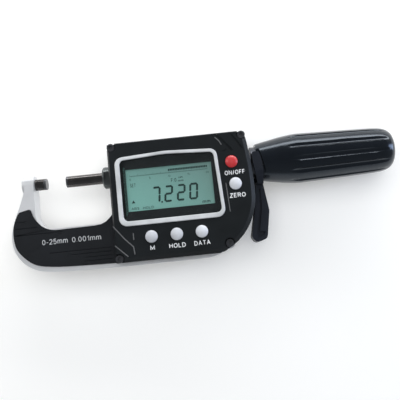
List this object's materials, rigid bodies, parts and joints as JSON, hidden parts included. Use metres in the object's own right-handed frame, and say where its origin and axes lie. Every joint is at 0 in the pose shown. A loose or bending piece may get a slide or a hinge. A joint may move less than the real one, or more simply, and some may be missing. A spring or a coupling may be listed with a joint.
{
  "type": "outside micrometer",
  "caption": "Outside micrometer with a C-shaped frame, digital display housing, fluted coaxial handle and a finger lever that drives the spindle through gears.",
  "frame": {"origin": "centre of the anvil's measuring face", "axes": "+X along the measuring line from the anvil towards the handle, +Y towards the top edge of the housing, +Z out of the display"},
  "size_m": [0.2205, 0.0689, 0.0298],
  "materials": {
    "cast_steel": "satin",
    "grip_plate": "fine grained, matt",
    "ground_steel": "ground",
    "hard_tip": "lapped",
    "nut_steel": "turned",
    "black_rubber": "matt",
    "brass": "machined",
    "black_metal": "satin black",
    "black_lever": "matt black",
    "handle_black": "glossy black",
    "cover_grey": "fine grained, matt",
    "screw_dark": "blackened steel",
    "bezel_white": "satin white",
    "clear": "clear",
    "mask_grey": "matt",
    "lcd": "grey-green display cell",
    "white_plastic": "diffuse",
    "board_green": "solder mask",
    "button_white": "satin",
    "button_red": "satin"
  },
  "bodies": {
    "housing": {"frame": "cast_steel", "front_grip_plate": "grip_plate", "rear_grip_plate": "grip_plate", "anvil": "ground_steel", "anvil_tip": "hard_tip", "guide_nut": "nut_steel", "wiper_ring": "black_rubber", "front_guide": "brass", "rear_guide": "brass", "gear_bridge": "brass", "bridge_screws": "nut_steel", "pivot_pins": "ground_steel", "neck": "black_metal", "handle": "handle_black", "front_cover": "cover_grey", "rear_cover": "cover_grey", "cell_lid": "grip_plate", "coin_cell": "nut_steel", "cell_contact": "brass", "front_screws": "screw_dark", "rear_screws": "screw_dark", "display_bezel": "bezel_white", "display_window": "clear", "display_mask": "mask_grey", "lcd_panel": "lcd", "lcd_backing": "white_plastic", "circuit_board": "board_green", "read_head": "mask_grey", "key_switches": "white_plastic"},
    "spindle_set": {"spindle": "ground_steel", "spindle_tip": "hard_tip", "tail_nut": "nut_steel", "rack": "ground_steel", "scale_strip": "brass"},
    "lever_set": {"lever": "black_lever", "sector_gear": "ground_steel", "sector_rivet": "nut_steel"},
    "gear_set": {"gear_arbor": "ground_steel", "large_gear": "brass", "small_pinion": "ground_steel"},
    "mode_button": {"button_mode": "button_white"},
    "hold_button": {"button_hold": "button_white"},
    "data_button": {"button_data": "button_white"},
    "power_button": {"button_power": "button_red"},
    "zero_button": {"button_zero": "button_white"}
  },
  "joints": [
    {"name": "lever_pivot", "type": "hinge", "parent": "housing", "child": "lever_set", "pos_m": [0.1206, 0, 0], "axis": [0, 0, 1], "range_deg": [-8.17, 9.59]},
    {"name": "gear_spin", "type": "hinge", "parent": "housing", "child": "gear_set", "pos_m": [0.09549, -0.0139, 0], "axis": [0, 0, 1], "range_deg": [-70, 60]},
    {"name": "spindle_slide", "type": "slide", "parent": "housing", "child": "spindle_set", "axis": [1, 0, 0], "range_m": [-0.0115, 0.0135]},
    {"name": "mode_press", "type": "slide", "parent": "housing", "child": "mode_button", "axis": [0, 0, -1], "range_m": [0, 0.0008], "stiffness_N_per_m": 500},
    {"name": "hold_press", "type": "slide", "parent": "housing", "child": "hold_button", "axis": [0, 0, -1], "range_m": [0, 0.0008], "stiffness_N_per_m": 500},
    {"name": "data_press", "type": "slide", "parent": "housing", "child": "data_button", "axis": [0, 0, -1], "range_m": [0, 0.0008], "stiffness_N_per_m": 500},
    {"name": "power_press", "type": "slide", "parent": "housing", "child": "power_button", "axis": [0, 0, -1], "range_m": [0, 0.0008], "stiffness_N_per_m": 500},
    {"name": "zero_press", "type": "slide", "parent": "housing", "child": "zero_button", "axis": [0, 0, -1], "range_m": [0, 0.0008], "stiffness_N_per_m": 500}
  ],
  "couplings": [
    {"joint": "gear_spin", "follows": "lever_pivot", "ratio": -7.2},
    {"joint": "spindle_slide", "follows": "lever_pivot", "m_per_rad": 0.08064}
  ]
}
